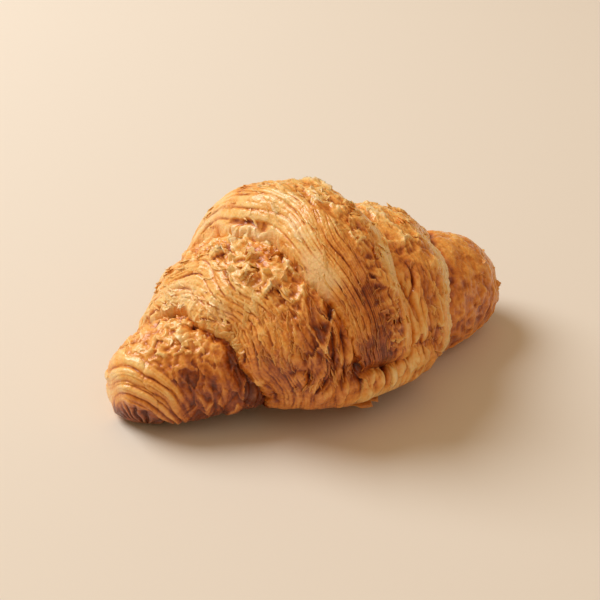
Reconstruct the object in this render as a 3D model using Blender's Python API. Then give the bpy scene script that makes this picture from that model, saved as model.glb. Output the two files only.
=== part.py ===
"""A baked butter croissant as one solid.

A long triangle of dough is rolled up from its base to its tip, so the crust has three levels: the core
roll, which shows as a lobe at each end; the wrap over it; and the centre band, which is the triangle's tip
and comes down the front as a blunt tab. Each level is a spindle. Its two cut edges run round the roll as
spirals, and each one climbs from the level below as a flight of laminated ridges.

Frame: metres, +Z up, X along the roll, -Y the front with the tab, the origin under the middle on the
resting plane. Angles round the roll are in degrees: -90 the bottom, 0 the front, 90 the top, 180 the back.
"""

import math

import bmesh
import bpy
import numpy as np
from mathutils import Vector, noise

NAME = "croissant"

# The roll.
LENGTH = 0.147
BEND_LEFT, BEND_RIGHT = 0.0075, 0.0025  # how far each end bends to the back
AXIS_SHIFT = -0.0003  # the roll's axis from the middle of the object's box, along Y
WAIST = 0.42  # height of a section's widest line, as a share of the section's height
UNDERSIDE = 1.12  # depth of the underside as a share of the waist's height, before the flat base cuts it
NOSE_LIFT, NOSE_LIFT_RUN = 0.0035, 0.014  # each end's point above the base, and the length it rises over

# A spindle: its peak, the peak's place along X, its reach to the left and right of that, and its power.
CORE_HEIGHT = (0.0440, 0.0140, 0.0876, 0.0596, 0.31)
CORE_WIDTH = (0.0290, 0.0087, 0.0823, 0.0649, 0.44)
WRAP_HEIGHT = (0.0594, -0.0048, 0.0796, 0.0930, 0.81)
WRAP_WIDTH = (0.0410, -0.0026, 0.0744, 0.0783, 0.69)
BAND_HEIGHT = (0.0723, -0.0180, 0.0636, 0.1042, 1.02)
BAND_WIDTH = (0.0442, 0.0031, 0.0831, 0.0526, 0.54)

# Edges that run round the roll: each one's place along X low on the front, and low on the back. Outside the
# tip edges is the core's last turn, and the others are the cut edges of the wrap and the band.
TIP_EDGE_LEFT = (-0.0630, -0.0680)
WRAP_EDGE_LEFT = (-0.0279, -0.0660)
BAND_EDGE_LEFT = (0.0010, -0.0425)
BAND_EDGE_RIGHT = (0.0070, 0.0276)
WRAP_EDGE_RIGHT = (0.0317, 0.0600)
TIP_EDGE_RIGHT = (0.0620, 0.0680)
FRONT_ANGLE, BACK_ANGLE = -50.0, 230.0
EDGE_WAVE, EDGE_WAVES = 0.0012, 7  # an edge's waviness, and its waves in one turn
TIP_TUCK = 0.07  # how much slimmer the core's last turn is

# The slope that climbs in from a cut edge.
SLOPE_RUN = 0.0125
SLOPE_SHARE = 0.42  # the most of its level's width that a slope takes
SLOPE_POWER = 0.85
LIP_RUN, LIP_SHARE = 0.0004, 0.15  # the raw edge of the outermost sheet
CREASE_DEPTH, CREASE_RUN = 0.0014, 0.0040  # how far the level below is drawn in along a cut edge
RIDGES, RIDGE_DEPTH = 4, 0.0008
RIDGE_CREST = 0.2  # where on a ridge its crest is

# The band's thickness grows from the tab's to its full one as it climbs the front.
TAB_ANGLE, TAB_END_TURN, TAB_THICKNESS = -28.0, 3.0, 0.0050
BAND_END_ANGLE = 245.0
BAND_THICKNESS, BAND_FULL_ANGLE = 0.030, 70.0
LEAST_STEP = 0.0008

# Relief from baking.
LUMP_SIZE, LUMP_DEPTH = 0.0130, 0.0010
FOLD_SPACING, FOLD_DEPTH, FOLD_ANGLE, FOLD_TURN = 0.0075, 0.0008, 5.0, 55.0

# The mesh: steps along the roll on each stretch between edges, and steps round it on each stretch of angle.
TIP_STEPS, TIP_CROWDING = 7, 2.0
LOBE_STEPS = 10
SKIN_STEPS, BAND_TOP_STEPS = 7, 9
STEPS_BELOW_TAB, STEPS_ROUND, STEPS_TO_BOTTOM = 7, 36, 4

CRUST_COLOUR = (0.50, 0.20, 0.06, 1.0)
CRUST_ROUGHNESS = 0.42


def spindle(x, shape):
    """Height or half width of a spindle at these places along X."""
    peak, middle, left, right, power = shape
    reach = np.where(x < middle, left, right)
    return peak * np.clip(1 - ((x - middle) / reach) ** 2, 0, 1) ** power


def edge_at(ends, angle, seed):
    """Place along X of an edge: it winds from the front to the back, and returns across the base."""
    wound = (angle - FRONT_ANGLE) / (BACK_ANGLE - FRONT_ANGLE)
    returned = 1 - ((angle - BACK_ANGLE) % 360) / (360 - BACK_ANGLE + FRONT_ANGLE)
    share = np.where((wound >= 0) & (wound <= 1), wound, returned)
    wave = EDGE_WAVE * np.sin(np.radians(angle) * EDGE_WAVES + seed) * np.sin(math.pi * share)
    return ends[0] + (ends[1] - ends[0]) * share + wave


def edges_at(angle):
    """The six edges from left to right."""
    left = (TIP_EDGE_LEFT, WRAP_EDGE_LEFT, BAND_EDGE_LEFT)
    right = (BAND_EDGE_RIGHT, WRAP_EDGE_RIGHT, TIP_EDGE_RIGHT)
    return [edge_at(ends, angle, 2.0 * seed) for seed, ends in enumerate(left + right)]


def climb(from_edge, run):
    """Share of the way up to the level's own surface, at this distance in from its cut edge."""
    lip = np.clip(from_edge / LIP_RUN, 0, 1)
    slope = np.sin(np.clip(from_edge / run, 0, 1) * math.pi / 2) ** SLOPE_POWER
    return LIP_SHARE * lip + (1 - LIP_SHARE) * slope


def ridges(from_edge, run):
    """Relief like the edges of stacked sheets: each ridge rises sharply outside and falls slowly inside."""
    phase = np.clip(from_edge / run, 0, 1) * RIDGES
    saw = phase % 1
    crest = np.minimum(saw / RIDGE_CREST, (1 - saw) / (1 - RIDGE_CREST))
    return RIDGE_DEPTH * crest * np.clip(RIDGES - phase, 0, 1)


def level_over(below, shape, left, right, x, limit):
    """What a level adds between its cut edges to the one below it, and the crease outside them."""
    run = np.minimum(SLOPE_RUN, SLOPE_SHARE * (right - left))
    inside = np.minimum(x - left, right - x)
    from_edge = np.clip(inside, 0, None)
    step = np.clip(spindle(x, shape) - below, LEAST_STEP, limit)
    uncovered = 1 - np.clip(inside / LIP_RUN, 0, 1)
    crease = CREASE_DEPTH * np.exp(np.clip(inside, None, 0) / CREASE_RUN) * uncovered
    return step * climb(from_edge, run) + ridges(from_edge, run) - crease


def band_limit(angle):
    """The most that the band adds at this angle: nothing before the tab's end or past its root."""
    growth = np.clip((angle - TAB_ANGLE) / (BAND_FULL_ANGLE - TAB_ANGLE), 0, 1)
    end = np.clip((angle - TAB_ANGLE) / TAB_END_TURN + 0.5, 0, 1)
    root = np.clip((BAND_END_ANGLE - angle) / 30, 0, 1)
    return (TAB_THICKNESS + (BAND_THICKNESS - TAB_THICKNESS) * growth), end * root


def tuck(x, tip_left, tip_right):
    """How much of its size the core keeps: less on its last turn, outside the tip edges."""
    outside = np.maximum(tip_left - x, x - tip_right)
    return 1 - TIP_TUCK * np.clip(outside / LIP_RUN, 0, 1)


def folds(x, angle):
    """Relief of the soft folds that run up the lower front and the lower back."""
    front = np.clip(1 - np.abs(angle - FOLD_ANGLE) / FOLD_TURN, 0, 1)
    back = np.clip(1 - np.abs(angle + FOLD_ANGLE - 180) / FOLD_TURN, 0, 1)
    uneven = 0.5 + 0.5 * np.sin(5 * x / FOLD_SPACING + np.radians(angle) * 2)
    wander = 0.9 * np.sin(np.radians(angle) * 3 + x / FOLD_SPACING)
    return FOLD_DEPTH * uneven * np.maximum(front, back) * np.sin(2 * math.pi * x / FOLD_SPACING + wander)


def lumps(x, y, z):
    """Relief of uneven rising."""
    place = Vector((x, y, z)) / LUMP_SIZE
    return LUMP_DEPTH * noise.noise(place)


def section(x, angle, height, half_width):
    """Points on the roll's sections, with the base still uncut."""
    turn = np.radians(angle)
    from_end = LENGTH / 2 - np.abs(x)
    bend = np.where(x < 0, BEND_LEFT, BEND_RIGHT) * (2 * x / LENGTH) ** 2
    lift = NOSE_LIFT * np.clip(1 - from_end / NOSE_LIFT_RUN, 0, 1) ** 2
    waist = WAIST * height
    reach = np.where(turn_is_up(angle), height - waist, UNDERSIDE * waist)
    return x, AXIS_SHIFT + bend - half_width * np.cos(turn), lift + waist + reach * np.sin(turn)


def turn_is_up(angle):
    return (angle > 0) & (angle < 180)


def crust(x, angle):
    """Points of the crust at these places along X and these angles."""
    tip_left, wrap_left, band_left, band_right, wrap_right, tip_right = edges_at(angle)
    limit, present = band_limit(angle)
    sizes = []
    for core, wrap, band in ((CORE_HEIGHT, WRAP_HEIGHT, BAND_HEIGHT), (CORE_WIDTH, WRAP_WIDTH, BAND_WIDTH)):
        size = spindle(x, core) * tuck(x, tip_left, tip_right)
        size = size + level_over(size, wrap, wrap_left, wrap_right, x, BAND_THICKNESS)
        sizes.append(size + present * level_over(size, band, band_left, band_right, x, limit))
    points = section(x, angle, *sizes)
    relief = folds(x, angle) + np.vectorize(lumps)(*points)
    relief = relief * np.clip(np.minimum(*sizes) / LUMP_SIZE, 0, 1)
    x, y, z = section(x, angle, *(size + relief for size in sizes))
    return np.stack([x, y, np.maximum(z, 0)], axis=-1)


def spread(start, stop, steps, crowding=1.0):
    """Places from start up to, but not at, stop."""
    share = (np.arange(steps) / steps) ** crowding
    return start + (stop - start) * share[:, None]


def signed_run(edge, inner_edge):
    """A slope's length from its cut edge towards the next edge in, with that direction's sign."""
    width = inner_edge - edge
    return np.sign(width) * np.minimum(SLOPE_RUN, SLOPE_SHARE * np.abs(width))


def slope_places(edge, run):
    """Places on a slope: its cut edge, the lip, and each ridge's crest and fall."""
    steps = np.arange(RIDGES)[:, None] + np.array([0, RIDGE_CREST, (1 + RIDGE_CREST) / 2])
    shares = steps.ravel()[1:] / RIDGES
    lip = np.full((1, 1), LIP_RUN) * np.sign(run)
    return np.concatenate([[edge], edge + lip, edge + run * shares[:, None]])


def half_places(end, tip_edge, wrap_edge, band_edge, other_edge):
    """Places from one end of the roll to the top of the band, at each angle."""
    tucked = tip_edge + np.sign(end) * LIP_RUN
    wrap_run = signed_run(wrap_edge, band_edge)
    band_run = signed_run(band_edge, other_edge)
    return np.concatenate([
        spread(end, tucked, TIP_STEPS, TIP_CROWDING)[1:],
        [tucked],
        spread(tip_edge, wrap_edge, LOBE_STEPS),
        slope_places(wrap_edge, wrap_run),
        spread(wrap_edge + wrap_run, band_edge, SKIN_STEPS),
        slope_places(band_edge, band_run),
    ]), band_edge + band_run


def places_along(angle):
    """The mesh's places along X, as rows from the left end to the right end and a column for each angle."""
    tip_left, wrap_left, band_left, band_right, wrap_right, tip_right = edges_at(angle)
    left, top_left = half_places(-LENGTH / 2, tip_left, wrap_left, band_left, band_right)
    right, top_right = half_places(LENGTH / 2, tip_right, wrap_right, band_right, band_left)
    top = np.concatenate([spread(top_left, top_right, BAND_TOP_STEPS), [top_right]])
    return np.concatenate([left, top, right[::-1]])


def column_angles():
    """The mesh's angles round the roll, with a close pair at the tab's end."""
    tab = TAB_ANGLE + TAB_END_TURN / 2 * np.array([-1, 1])
    return np.concatenate([
        np.linspace(-90, tab[0], STEPS_BELOW_TAB, endpoint=False),
        tab[:1],
        np.linspace(tab[1], BAND_END_ANGLE, STEPS_ROUND, endpoint=False),
        np.linspace(BAND_END_ANGLE, 270, STEPS_TO_BOTTOM, endpoint=False),
    ])


def ball(rows, columns):
    """A ball with its poles on the Z axis, whose rings and meridians are the mesh's rows and columns."""
    mesh = bmesh.new()
    bmesh.ops.create_uvsphere(mesh, u_segments=columns, v_segments=rows + 1, radius=1.0)
    return mesh


def shape_ball(mesh, points, ends):
    """Moves each of the ball's vertices to its place on the crust."""
    rows, columns = points.shape[:2]
    for vertex in mesh.verts:
        polar = math.acos(max(-1.0, min(1.0, vertex.co.z)))
        row = round(polar / math.pi * (rows + 1)) - 1
        if row < 0:
            vertex.co = ends[0]
        elif row >= rows:
            vertex.co = ends[1]
        else:
            column = round(math.atan2(vertex.co.y, vertex.co.x) / math.tau * columns) % columns
            vertex.co = points[row, column]


def crust_material():
    material = bpy.data.materials.new("baked_crust")
    material.use_nodes = True
    shader = material.node_tree.nodes["Principled BSDF"]
    shader.inputs["Base Color"].default_value = CRUST_COLOUR
    shader.inputs["Roughness"].default_value = CRUST_ROUGHNESS
    shader.inputs["Metallic"].default_value = 0.0
    return material


def build_croissant():
    angle = column_angles()
    places = places_along(angle)
    points = crust(places, np.broadcast_to(angle, places.shape))
    tips = ((-LENGTH / 2, BEND_LEFT), (LENGTH / 2, BEND_RIGHT))
    ends = [(x, AXIS_SHIFT + bend, NOSE_LIFT) for x, bend in tips]
    mesh = ball(*places.shape)
    shape_ball(mesh, points, ends)
    data = bpy.data.meshes.new(NAME)
    mesh.to_mesh(data)
    mesh.free()
    data.shade_smooth()
    data.materials.append(crust_material())
    return bpy.data.objects.new(NAME, data)


def main():
    for old in list(bpy.data.objects):
        bpy.data.objects.remove(old, do_unlink=True)
    collection = bpy.data.collections.new(NAME)
    bpy.context.scene.collection.children.link(collection)
    collection.objects.link(build_croissant())


main()
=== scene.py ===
import math
from collections import namedtuple
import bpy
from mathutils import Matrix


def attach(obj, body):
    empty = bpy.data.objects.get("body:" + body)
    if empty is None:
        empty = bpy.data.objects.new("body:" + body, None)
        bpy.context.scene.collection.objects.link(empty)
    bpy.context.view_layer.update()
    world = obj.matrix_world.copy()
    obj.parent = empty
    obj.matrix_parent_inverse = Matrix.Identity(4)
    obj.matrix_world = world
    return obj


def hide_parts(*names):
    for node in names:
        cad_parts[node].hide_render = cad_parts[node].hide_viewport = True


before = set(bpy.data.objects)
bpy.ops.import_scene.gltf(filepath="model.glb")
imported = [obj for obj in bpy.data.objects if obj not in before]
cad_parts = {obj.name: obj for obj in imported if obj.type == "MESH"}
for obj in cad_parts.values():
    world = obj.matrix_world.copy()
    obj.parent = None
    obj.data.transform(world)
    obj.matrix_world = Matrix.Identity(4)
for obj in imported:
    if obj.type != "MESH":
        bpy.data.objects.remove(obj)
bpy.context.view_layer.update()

from types import SimpleNamespace

import bmesh
import bpy
import numpy as np
from mathutils import Vector

# ===== The roll's driving dimensions, in metres. They are the solid's own, but for TIP_TUCK and TAB_TIP_ANGLE.
# Angles round the roll are in degrees: -90 is the bottom, 0 the front, 90 the top, 180 the back.
LENGTH = 0.147
BEND_LEFT, BEND_RIGHT = 0.0075, 0.0025
AXIS_SHIFT = -0.0003
WAIST, UNDERSIDE = 0.42, 1.12
NOSE_LIFT, NOSE_LIFT_RUN = 0.0035, 0.014
# Spindles: peak, x of the middle, reach to the left and to the right of it, power
CORE_HEIGHT = (0.0440, 0.0140, 0.0876, 0.0596, 0.31)
CORE_WIDTH = (0.0290, 0.0087, 0.0823, 0.0649, 0.44)
WRAP_HEIGHT = (0.0594, -0.0048, 0.0796, 0.0930, 0.81)
WRAP_WIDTH = (0.0410, -0.0026, 0.0744, 0.0783, 0.69)
BAND_HEIGHT = (0.0723, -0.0180, 0.0636, 0.1042, 1.02)
BAND_WIDTH = (0.0442, 0.0031, 0.0831, 0.0526, 0.54)
# Cut edges: x where each starts at the front, and where it ends at the back
TIP_EDGE_LEFT = (-0.0630, -0.0680)
WRAP_EDGE_LEFT = (-0.0279, -0.0660)
BAND_EDGE_LEFT = (0.0010, -0.0425)
BAND_EDGE_RIGHT = (0.0070, 0.0276)
WRAP_EDGE_RIGHT = (0.0317, 0.0600)
TIP_EDGE_RIGHT = (0.0620, 0.0680)
FRONT_ANGLE, BACK_ANGLE = -50.0, 230.0
EDGE_WAVE, EDGE_WAVES = 0.0012, 7
TIP_TUCK = 0.02
SLOPE_RUN, SLOPE_SHARE, SLOPE_POWER = 0.0125, 0.42, 0.85
LIP_RUN, LIP_SHARE = 0.0004, 0.15
CREASE_DEPTH, CREASE_RUN = 0.0014, 0.0040
TAB_ANGLE, TAB_THICKNESS = -28.0, 0.0050
TAB_TIP_ANGLE = 0.0  # where the tab's leaf ends, on the foot that swells out below it
TAB_FADE = (TAB_TIP_ANGLE - 6, TAB_TIP_ANGLE + 4)  # where the crease round the tab fades in
BAND_END_ANGLE, BAND_END_FADE = 245.0, 30.0
BAND_THICKNESS, BAND_FULL_ANGLE = 0.030, 70.0
LEAST_STEP = 0.0008
FOLD_SPACING, FOLD_DEPTH, FOLD_ANGLE, FOLD_TURN = 0.0075, 0.0008, 5.0, 55.0

MM = 0.001
SEED = 11


# ===== Noise
TABLE = 256
NOISE_STEP, CELL_STEP = np.array([17.3, 31.7, 5.9]), np.array([7.1, 3.7, 9.3])  # from seed to seed
NOISE_GAIN = 1.7
CELL_FAR = 9.0  # further than any scattered point that is looked at


def random_tables():
    """What the noise looks up: the order of its cells, then a direction, a spot and a level for each."""
    draw = np.random.default_rng(SEED)
    order = np.tile(draw.permutation(TABLE), 2)
    arrows = draw.normal(size=(TABLE, 3))
    spots = draw.random((TABLE, 3))
    return order, arrows / np.linalg.norm(arrows, axis=1)[:, None], spots, draw.random(TABLE)


ORDER, ARROWS, SPOTS, LEVELS = random_tables()


def lattice(cell):
    """A number from the table for each whole-numbered cell."""
    x, y, z = (cell[..., axis] % TABLE for axis in range(3))
    return ORDER[(ORDER[(ORDER[x] + y) % TABLE] + z) % TABLE]


def noise(place, size, seed=0):
    """Smooth noise from about -1 to 1, with bumps of this size."""
    scaled = np.asarray(place) / size + seed * NOISE_STEP
    low = np.floor(scaled).astype(int)
    part = scaled - low
    blend = part ** 3 * (part * (part * 6 - 15) + 10)
    total = 0.0
    for corner in np.ndindex(2, 2, 2):
        offset = np.array(corner)
        slope = ARROWS[lattice(low + offset)]
        value = (slope * (part - offset)).sum(axis=-1)
        weight = np.where(offset == 1, blend, 1 - blend).prod(axis=-1)
        total = total + weight * value
    return NOISE_GAIN * total


def cells(place, size, seed=0):
    """Distances to the nearest two scattered points, the nearest one's level, and the way to it."""
    scaled = np.asarray(place) / size + seed * CELL_STEP
    low = np.floor(scaled).astype(int)
    first = np.full(scaled.shape[:-1], CELL_FAR)
    second = first.copy()
    level = np.zeros_like(first)
    way = np.zeros_like(scaled)
    for step in np.ndindex(3, 3, 3):
        cell = low + np.array(step) - 1
        index = lattice(cell)
        to_spot = cell + SPOTS[index] - scaled
        distance = np.sqrt((to_spot ** 2).sum(axis=-1))
        nearer = distance < first
        second = np.where(nearer, first, np.minimum(second, distance))
        first = np.where(nearer, distance, first)
        level = np.where(nearer, LEVELS[index], level)
        way = np.where(nearer[..., None], to_spot, way)
    return first, second, level, way


def smoothstep(low, high, value):
    share = np.clip((value - low) / (high - low), 0, 1)
    return share * share * (3 - 2 * share)


def within(span, value):
    """1 in the middle of the span (start, full, still full, end) and 0 outside it, with smooth slopes."""
    start, full, still_full, end = span
    return smoothstep(start, full, value) * smoothstep(end, still_full, value)


def flat_place(a, b, c=0.0):
    return np.stack(np.broadcast_arrays(a, b, c), axis=-1)


# ===== The roll's form: the same formulas as the solid's
def spindle(x, shape):
    peak, middle, left, right, power = shape
    reach = np.where(x < middle, left, right)
    return peak * np.clip(1 - ((x - middle) / reach) ** 2, 0, 1) ** power


def edge_at(ends, angle, seed):
    wound = (angle - FRONT_ANGLE) / (BACK_ANGLE - FRONT_ANGLE)
    returned = 1 - ((angle - BACK_ANGLE) % 360) / (360 - BACK_ANGLE + FRONT_ANGLE)
    share = np.where((wound >= 0) & (wound <= 1), wound, returned)
    wave = EDGE_WAVE * np.sin(np.radians(angle) * EDGE_WAVES + seed) * np.sin(math.pi * share)
    return ends[0] + (ends[1] - ends[0]) * share + wave


def edges_at(angle):
    """The six edges from left to right: tip, wrap, band, band, wrap, tip."""
    left = (TIP_EDGE_LEFT, WRAP_EDGE_LEFT, BAND_EDGE_LEFT)
    right = (BAND_EDGE_RIGHT, WRAP_EDGE_RIGHT, TIP_EDGE_RIGHT)
    return [edge_at(ends, angle, 2.0 * seed) for seed, ends in enumerate(left + right)]


def edges_from(side, angle):
    """The same six edges, starting at the roll's left end for side -1 and at its right end for side 1."""
    return edges_at(angle)[::-side]


def climb(from_edge, run):
    lip = np.clip(from_edge / LIP_RUN, 0, 1)
    slope = np.sin(np.clip(from_edge / run, 0, 1) * math.pi / 2) ** SLOPE_POWER
    return LIP_SHARE * lip + (1 - LIP_SHARE) * slope


def tuck(x, tip_left, tip_right):
    outside = np.maximum(tip_left - x, x - tip_right)
    return 1 - TIP_TUCK * np.clip(outside / LIP_RUN, 0, 1)


def band_limit(angle):
    growth = np.clip((angle - TAB_ANGLE) / (BAND_FULL_ANGLE - TAB_ANGLE), 0, 1)
    return TAB_THICKNESS + (BAND_THICKNESS - TAB_THICKNESS) * growth


def crease(inside):
    return CREASE_DEPTH * np.exp(np.clip(inside, None, 0) / CREASE_RUN)


def step_over(below, shape, left, right, x, limit):
    run = np.minimum(SLOPE_RUN, SLOPE_SHARE * (right - left))
    from_edge = np.clip(np.minimum(x - left, right - x), 0, None)
    return np.clip(spindle(x, shape) - below, LEAST_STEP, limit) * climb(from_edge, run)


def core_size(x, angle):
    """(height, half width) of the core roll."""
    tip_left, wrap_left, _, _, wrap_right, tip_right = edges_at(angle)
    kept = tuck(x, tip_left, tip_right)
    drawn_in = crease(np.minimum(x - wrap_left, wrap_right - x))
    return [spindle(x, shape) * kept - drawn_in for shape in (CORE_HEIGHT, CORE_WIDTH)]


def wrap_size(x, angle, drawn_in=True):
    _, wrap_left, band_left, band_right, wrap_right, _ = edges_at(angle)
    present = smoothstep(*TAB_FADE, angle) * smoothstep(0, BAND_END_FADE, BAND_END_ANGLE - angle)
    under_band = crease(np.minimum(x - band_left, band_right - x)) * present * drawn_in
    sizes = []
    for core, wrap in ((CORE_HEIGHT, WRAP_HEIGHT), (CORE_WIDTH, WRAP_WIDTH)):
        below = spindle(x, core)
        step = step_over(below, wrap, wrap_left, wrap_right, x, BAND_THICKNESS)
        sizes.append(below + step - under_band)
    return sizes


def band_size(x, angle):
    _, _, band_left, band_right, _, _ = edges_at(angle)
    limit = band_limit(angle) * smoothstep(0, BAND_END_FADE, BAND_END_ANGLE - angle)
    limit = np.maximum(limit, LEAST_STEP)
    return [
        below + step_over(below, shape, band_left, band_right, x, limit)
        for below, shape in zip(wrap_size(x, angle, False), (BAND_HEIGHT, BAND_WIDTH))
    ]


def section(x, angle, height, half_width):
    """Points on the roll's sections."""
    turn = np.radians(angle)
    from_end = LENGTH / 2 - np.abs(x)
    bend = np.where(x < 0, BEND_LEFT, BEND_RIGHT) * (2 * x / LENGTH) ** 2
    lift = NOSE_LIFT * np.clip(1 - from_end / NOSE_LIFT_RUN, 0, 1) ** 2
    waist = WAIST * height
    reach = np.where(np.sin(turn) > 0, height - waist, UNDERSIDE * waist)
    y = AXIS_SHIFT + bend - half_width * np.cos(turn)
    return np.stack(np.broadcast_arrays(x, y, lift + waist + reach * np.sin(turn)), axis=-1)


def folds(x, angle):
    """Relief of the soft folds that run up the lower front and the lower back."""
    front = np.clip(1 - np.abs(angle - FOLD_ANGLE) / FOLD_TURN, 0, 1)
    back = np.clip(1 - np.abs(angle + FOLD_ANGLE - 180) / FOLD_TURN, 0, 1)
    uneven = 0.5 + 0.5 * np.sin(5 * x / FOLD_SPACING + np.radians(angle) * 2)
    wander = 0.9 * np.sin(np.radians(angle) * 3 + x / FOLD_SPACING)
    return FOLD_DEPTH * uneven * np.maximum(front, back) * np.sin(2 * math.pi * x / FOLD_SPACING + wander)


# ===== Relief. Each function returns (height in metres, toast, cream) at each point: toast is how dark the crust
# is coloured, from 0 for pale to 1 for dark, mostly by baking but in places by painted light and shade, and
# cream is how much the pale inner layers show.
def sheet_lines(inset, along, spacing, seed, waviness=0.30):
    """(drifting line number, how open each gap is, how high each sheet stands) of lines beside a cut edge."""
    drift = 1.1 * noise(flat_place(inset / 0.0075, along / 0.032), 1.0, seed)
    drift = drift + waviness * noise(flat_place(inset / 0.0040, along / 0.0110), 1.0, seed + 1)
    phase = inset / spacing + drift
    beside_gap = flat_place(0.61 * np.rint(phase), along / 0.010)
    opened = smoothstep(-0.15, 0.55, noise(beside_gap, 1.0, seed + 2))
    stand = noise(flat_place(0.43 * np.floor(phase), along / 0.015), 1.0, seed + 3)
    return phase, 0.25 + 0.75 * opened, stand


def sheets(inset, along, spacing, depth, seed, waviness=0.30):
    """Edges of stacked sheets beside a cut edge: uneven folds with fine leaf edges on them."""
    phase, opened, stand = sheet_lines(inset, along, spacing, seed, waviness)
    gap = opened * np.exp(-((phase - np.rint(phase)) / 0.09) ** 2)
    crown = np.abs(np.sin(math.pi * phase)) ** 0.6
    finer = 0.34 * spacing
    fine_phase, fine_opened, fine_stand = sheet_lines(inset, along, finer, seed + 5, waviness)
    fine_gap = fine_opened * np.exp(-((fine_phase - np.rint(fine_phase)) / 0.20) ** 2)
    height = 0.75 * stand + 0.30 * crown - 0.50 * gap + 0.30 * fine_stand - 0.36 * fine_gap
    toast = 0.16 * gap - 0.06 * crown + 0.15 * fine_gap - 0.07 * fine_stand - 0.02
    return depth * height, toast, 0.08 * np.clip(stand, 0, 1)


def flaked(x, along, size, depth, seed, walls=1.0):
    """Brittle crust broken into tilted flakes, with a few thin torn walls left standing between them."""
    flat = flat_place(x, along / 1.35)
    bend = flat_place(noise(flat, 0.6 * size, seed), noise(flat, 0.6 * size, seed + 1))
    jag = flat_place(noise(flat, 0.2 * size, seed + 2), noise(flat, 0.2 * size, seed + 3))
    first, second, level, way = cells(flat + size * (0.34 * bend + 0.07 * jag), size, seed)
    lean = ARROWS[(level * (TABLE - 1)).astype(int)]
    tilt = (way * lean)[..., :2].sum(axis=-1)
    left_standing = walls * smoothstep(0.10, 0.50, noise(flat, 0.9 * size, seed + 5))
    wall = np.exp(-((second - first) / 0.10) ** 2) * left_standing
    curl = np.clip(1.6 * tilt, 0, 1) ** 2
    hollow = smoothstep(0.55, 1.0, level) * smoothstep(0.05, 0.45, second - first)
    height = depth * (1.3 * tilt + 0.35 * curl + 0.70 * (level - 0.5) + 0.60 * wall - 0.55 * hollow)
    toast = 0.13 * hollow - 0.13 * wall - 0.14 * tilt - 0.05 * curl - 0.15 * (level - 0.5)
    return height, toast, 0.14 * wall


def crumpled(place, size, depth, seed):
    """Skin creased like paper: sharp pale crests between hollows."""
    bend = np.stack([noise(place, size, seed + i) for i in range(3)], axis=-1)
    crest = 1 - 2 * np.abs(noise(place + 0.35 * size * bend, size, seed + 3))
    return depth * crest, -0.07 * crest, np.zeros_like(crest)


def bubbled(place, size, depth, seed):
    """Round bubbles under a glossy skin."""
    first, _, level, _ = cells(place, size, seed)
    dome = np.clip(1 - (first / (0.42 + 0.35 * level)) ** 2, 0, 1)
    height = depth * (0.4 + 0.9 * level) * np.sqrt(dome)
    return height, 0.08 * dome * level - 0.04, np.zeros_like(height)


def draped(x, along, spacing, depth, seed):
    """Slack skin in long folds that run round the roll, with creases between them, painted paler on the folds
    and darker in the creases as painted light and shade.
    """
    bend = 0.55 * noise(flat_place(x / 0.010, along / 0.016), 1.0, seed)
    wave = np.abs(noise(flat_place(x / spacing + bend, along / 0.026), 1.0, seed + 1))
    small = np.abs(noise(flat_place(2.3 * x / spacing + 1.6 * bend, along / 0.015), 1.0, seed + 2))
    fine = noise(flat_place(5.5 * x / spacing + 3 * bend, along / 0.012), 1.0, seed + 3)
    height = depth * (1.6 * np.sqrt(wave + 0.01) + 0.7 * np.sqrt(small + 0.01) + 0.10 * fine - 1.1)
    # Painted light on the folds and painted shade in the creases between them.
    return height, 0.09 - 0.11 * np.sqrt(wave) - 0.05 * np.sqrt(small), np.zeros_like(height)


def grained(place, seed):
    """Fine unevenness that all of the crust has."""
    height = 0.06 * MM * noise(place, 0.0010, seed) + 0.14 * MM * noise(place, 0.0026, seed + 1)
    return height, 0.06 * noise(place, 0.0032, seed + 2), np.zeros_like(height)


def mixed(parts):
    """Sum of (weight, relief) pairs."""
    return [sum(weight * relief[i] for weight, relief in parts) for i in range(3)]


def patch(inset, angle, spot):
    """1 at the middle of a spot (inset, angle, half width, half angle), and 0 well outside it."""
    middle, turn, half_width, half_angle = spot
    return np.exp(-((inset - middle) / half_width) ** 4 - ((angle - turn) / half_angle) ** 4)


# ===== Meshes
SKINS = {}  # what the loose flakes need of each skin
BASE_FADE = (-0.0010, 0.0045)  # heights between which the relief fades in above the flat base
# The cavity field made from these two levels masks painted shade in hollows and painted light on crests.
CAVITY_NEAR, CAVITY_FAR = (0.35, 5), (0.65, 36)  # share and blur of the two levels that a hollow lies below


def smoothed(field, rounds):
    """The field blurred along its rows and columns. The columns run round the piece."""
    for _ in range(rounds):
        padded = np.pad(field, ((1, 1), (0, 0)), mode="edge")
        field = (padded[:-2] + 2 * padded[1:-1] + padded[2:]) / 4
        field = (np.roll(field, 1, axis=1) + 2 * field + np.roll(field, -1, axis=1)) / 4
    return field


def normals_of(points):
    """Outward normals of a grid whose columns run round the piece."""
    padded = np.concatenate([points[:1], points, points[-1:]])
    along = padded[2:] - padded[:-2]
    around = np.roll(points, -1, axis=1) - np.roll(points, 1, axis=1)
    normal = np.cross(around, along)
    outward = np.sign((normal * (points - points.mean(axis=1, keepdims=True))).sum())
    length = np.linalg.norm(normal, axis=-1, keepdims=True)
    return outward * normal / np.maximum(length, 1e-12)


def raised(points, height):
    """The grid with each point moved out along its normal, except near the base, which stays flat."""
    height = height * smoothstep(*BASE_FADE, points[..., 2])
    moved = points + normals_of(points) * height[..., None]
    moved[..., 2] = np.maximum(moved[..., 2], 0)
    return moved


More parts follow.
